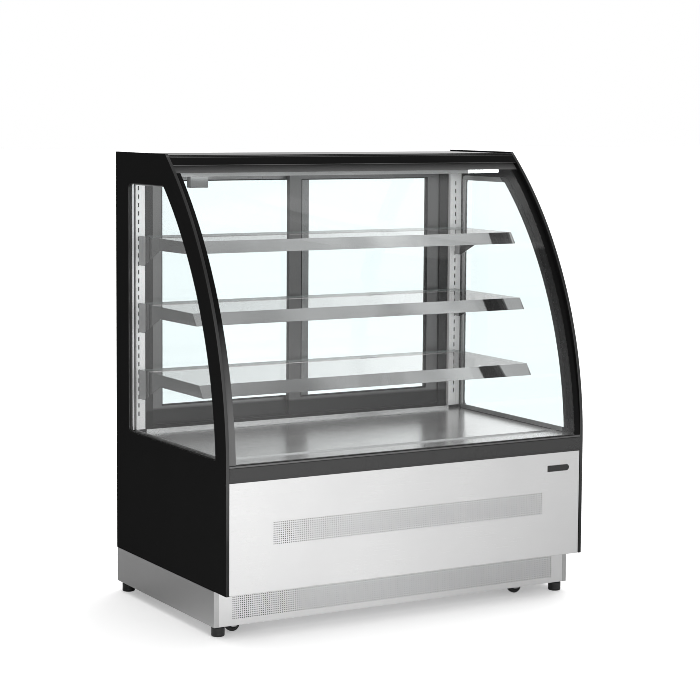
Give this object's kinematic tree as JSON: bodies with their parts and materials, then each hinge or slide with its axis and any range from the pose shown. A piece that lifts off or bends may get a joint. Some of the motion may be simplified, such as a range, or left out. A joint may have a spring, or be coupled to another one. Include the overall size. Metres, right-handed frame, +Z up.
{
  "type": "glass display showcase",
  "caption": "Free-standing refrigerated display showcase with curved front glass, windowed ends, glass shelves and sliding rear doors on a wheeled plinth.",
  "frame": {"origin": "on the floor, under the centre of the overall box", "axes": "+Z up, -Y towards the customer on the curved glass side, +X to the right when looking along +Y from the customer's side"},
  "size_m": [1.2, 0.73, 1.33],
  "materials": {
    "chassis_steel": "galvanised sheet",
    "stainless_brushed": "brushed, fine horizontal grain",
    "foot_black": "black enamel, satin",
    "end_panel_black": "moulded, satin",
    "zinc_plate": "zinc plated, satin",
    "wheel_black": "moulded, satin",
    "panel_black": "powder coat, satin",
    "clear_glass": "toughened, clear",
    "shelf_pane": "toughened, polished green-tinted edge",
    "trim_grey": "moulded, satin",
    "fascia_dark": "semi gloss",
    "badge_black": "blank, gloss",
    "aluminium_trim": "anodised, satin",
    "liner_stainless": "brushed",
    "lamp_white": "diffuser, frosted",
    "door_alloy": "anodised, brushed",
    "compressor_black": "gloss enamel",
    "coil_metal": "plain fins",
    "fan_plastic": "moulded",
    "motor_grey": "satin",
    "control_plastic": "moulded, fine texture",
    "key_grey": "moulded",
    "rocker_red": "moulded, gloss"
  },
  "bodies": {
    "cabinet": {"base_tray": "chassis_steel", "plinth_front": "stainless_brushed", "plinth_sides": "stainless_brushed", "plinth_rear": "stainless_brushed", "caster_plates": "zinc_plate", "end_panel_left": "end_panel_black", "end_panel_right": "end_panel_black", "side_glass_left": "clear_glass", "side_glass_right": "clear_glass", "window_trims": "trim_grey", "lower_front_panel": "stainless_brushed", "fascia_strip": "fascia_dark", "badge_plate": "badge_black", "front_glass": "clear_glass", "glass_channel": "aluminium_trim", "header_bar": "panel_black", "top_sheet": "stainless_brushed", "ceiling_panel": "liner_stainless", "led_tube": "lamp_white", "led_clips": "trim_grey", "sensor_cover": "trim_grey", "rear_frame": "door_alloy", "rear_service_panel": "stainless_brushed", "well_liner": "liner_stainless", "deck_plate": "liner_stainless", "shelf_uprights": "liner_stainless", "compressor": "compressor_black", "condenser": "coil_metal", "evaporator": "coil_metal", "fan_motors": "motor_grey", "control_unit": "control_plastic", "power_inlet": "control_plastic"},
    "foot_front_left": {"foot_front_left": "foot_black"},
    "foot_front_right": {"foot_front_right": "foot_black"},
    "foot_rear_left": {"foot_rear_left": "foot_black"},
    "foot_rear_right": {"foot_rear_right": "foot_black"},
    "caster_fork_front_left": {"caster_fork_front_left": "zinc_plate"},
    "caster_wheel_front_left": {"caster_wheel_front_left": "wheel_black"},
    "caster_fork_front_right": {"caster_fork_front_right": "zinc_plate"},
    "caster_wheel_front_right": {"caster_wheel_front_right": "wheel_black"},
    "caster_fork_rear_left": {"caster_fork_rear_left": "zinc_plate"},
    "caster_wheel_rear_left": {"caster_wheel_rear_left": "wheel_black"},
    "caster_fork_rear_right": {"caster_fork_rear_right": "zinc_plate"},
    "caster_wheel_rear_right": {"caster_wheel_rear_right": "wheel_black"},
    "door_left": {"door_left_frame": "door_alloy", "door_left_glass": "clear_glass"},
    "door_right": {"door_right_frame": "door_alloy", "door_right_glass": "clear_glass"},
    "shelf_top": {"shelf_frame_top": "liner_stainless", "shelf_glass_top": "shelf_pane"},
    "shelf_middle": {"shelf_frame_middle": "liner_stainless", "shelf_glass_middle": "shelf_pane"},
    "shelf_bottom": {"shelf_frame_bottom": "liner_stainless", "shelf_glass_bottom": "shelf_pane"},
    "condenser_fan": {"condenser_fan": "fan_plastic"},
    "evaporator_fan": {"evaporator_fan": "fan_plastic"},
    "button_set": {"button_set": "key_grey"},
    "button_up": {"button_up": "key_grey"},
    "button_down": {"button_down": "key_grey"},
    "light_switch": {"light_switch": "rocker_red"}
  },
  "joints": [
    {"name": "foot_front_left_adjust", "type": "slide", "parent": "cabinet", "child": "foot_front_left", "axis": [0, 0, -1], "range_m": [-0.003, 0.02]},
    {"name": "foot_front_right_adjust", "type": "slide", "parent": "cabinet", "child": "foot_front_right", "axis": [0, 0, -1], "range_m": [-0.003, 0.02]},
    {"name": "foot_rear_left_adjust", "type": "slide", "parent": "cabinet", "child": "foot_rear_left", "axis": [0, 0, -1], "range_m": [-0.003, 0.02]},
    {"name": "foot_rear_right_adjust", "type": "slide", "parent": "cabinet", "child": "foot_rear_right", "axis": [0, 0, -1], "range_m": [-0.003, 0.02]},
    {"name": "caster_front_left_swivel", "type": "hinge", "parent": "cabinet", "child": "caster_fork_front_left", "pos_m": [-0.5, -0.244, 0.0545], "axis": [0, 0, 1], "continuous": true},
    {"name": "caster_front_left_roll", "type": "hinge", "parent": "caster_fork_front_left", "child": "caster_wheel_front_left", "pos_m": [-0.52, -0.244, 0.024], "axis": [0, 1, 0], "continuous": true},
    {"name": "caster_front_right_swivel", "type": "hinge", "parent": "cabinet", "child": "caster_fork_front_right", "pos_m": [0.46, -0.244, 0.0545], "axis": [0, 0, 1], "continuous": true},
    {"name": "caster_front_right_roll", "type": "hinge", "parent": "caster_fork_front_right", "child": "caster_wheel_front_right", "pos_m": [0.44, -0.244, 0.024], "axis": [0, 1, 0], "continuous": true},
    {"name": "caster_rear_left_swivel", "type": "hinge", "parent": "cabinet", "child": "caster_fork_rear_left", "pos_m": [-0.48, 0.245, 0.0545], "axis": [0, 0, 1], "continuous": true},
    {"name": "caster_rear_left_roll", "type": "hinge", "parent": "caster_fork_rear_left", "child": "caster_wheel_rear_left", "pos_m": [-0.5, 0.245, 0.024], "axis": [0, 1, 0], "continuous": true},
    {"name": "caster_rear_right_swivel", "type": "hinge", "parent": "cabinet", "child": "caster_fork_rear_right", "pos_m": [0.48, 0.245, 0.0545], "axis": [0, 0, 1], "continuous": true},
    {"name": "caster_rear_right_roll", "type": "hinge", "parent": "caster_fork_rear_right", "child": "caster_wheel_rear_right", "pos_m": [0.46, 0.245, 0.024], "axis": [0, 1, 0], "continuous": true},
    {"name": "door_left_slide", "type": "slide", "parent": "cabinet", "child": "door_left", "axis": [1, 0, 0], "range_m": [0, 0.467]},
    {"name": "door_right_slide", "type": "slide", "parent": "cabinet", "child": "door_right", "axis": [-1, 0, 0], "range_m": [0, 0.467]},
    {"name": "shelf_top_lift", "type": "slide", "parent": "cabinet", "child": "shelf_top", "axis": [0, 0, 1], "range_m": [0, 0.0075]},
    {"name": "shelf_middle_lift", "type": "slide", "parent": "cabinet", "child": "shelf_middle", "axis": [0, 0, 1], "range_m": [0, 0.0075]},
    {"name": "shelf_bottom_lift", "type": "slide", "parent": "cabinet", "child": "shelf_bottom", "axis": [0, 0, 1], "range_m": [0, 0.0075]},
    {"name": "condenser_fan_spin", "type": "hinge", "parent": "cabinet", "child": "condenser_fan", "pos_m": [0.118, 0.035, 0.18], "axis": [1, 0, 0], "continuous": true},
    {"name": "evaporator_fan_spin", "type": "hinge", "parent": "cabinet", "child": "evaporator_fan", "pos_m": [-0.06, -0.129, 0.428], "axis": [0, 1, 0], "continuous": true},
    {"name": "button_set_press", "type": "slide", "parent": "cabinet", "child": "button_set", "axis": [0, -1, 0], "range_m": [0, 0.0008], "stiffness_N_per_m": 400},
    {"name": "button_up_press", "type": "slide", "parent": "cabinet", "child": "button_up", "axis": [0, -1, 0], "range_m": [0, 0.0008], "stiffness_N_per_m": 400},
    {"name": "button_down_press", "type": "slide", "parent": "cabinet", "child": "button_down", "axis": [0, -1, 0], "range_m": [0, 0.0008], "stiffness_N_per_m": 400},
    {"name": "light_switch_rock", "type": "hinge", "parent": "cabinet", "child": "light_switch", "pos_m": [0.386, 0.358, 0.42], "axis": [1, 0, 0], "range_deg": [-16, 0]}
  ]
}
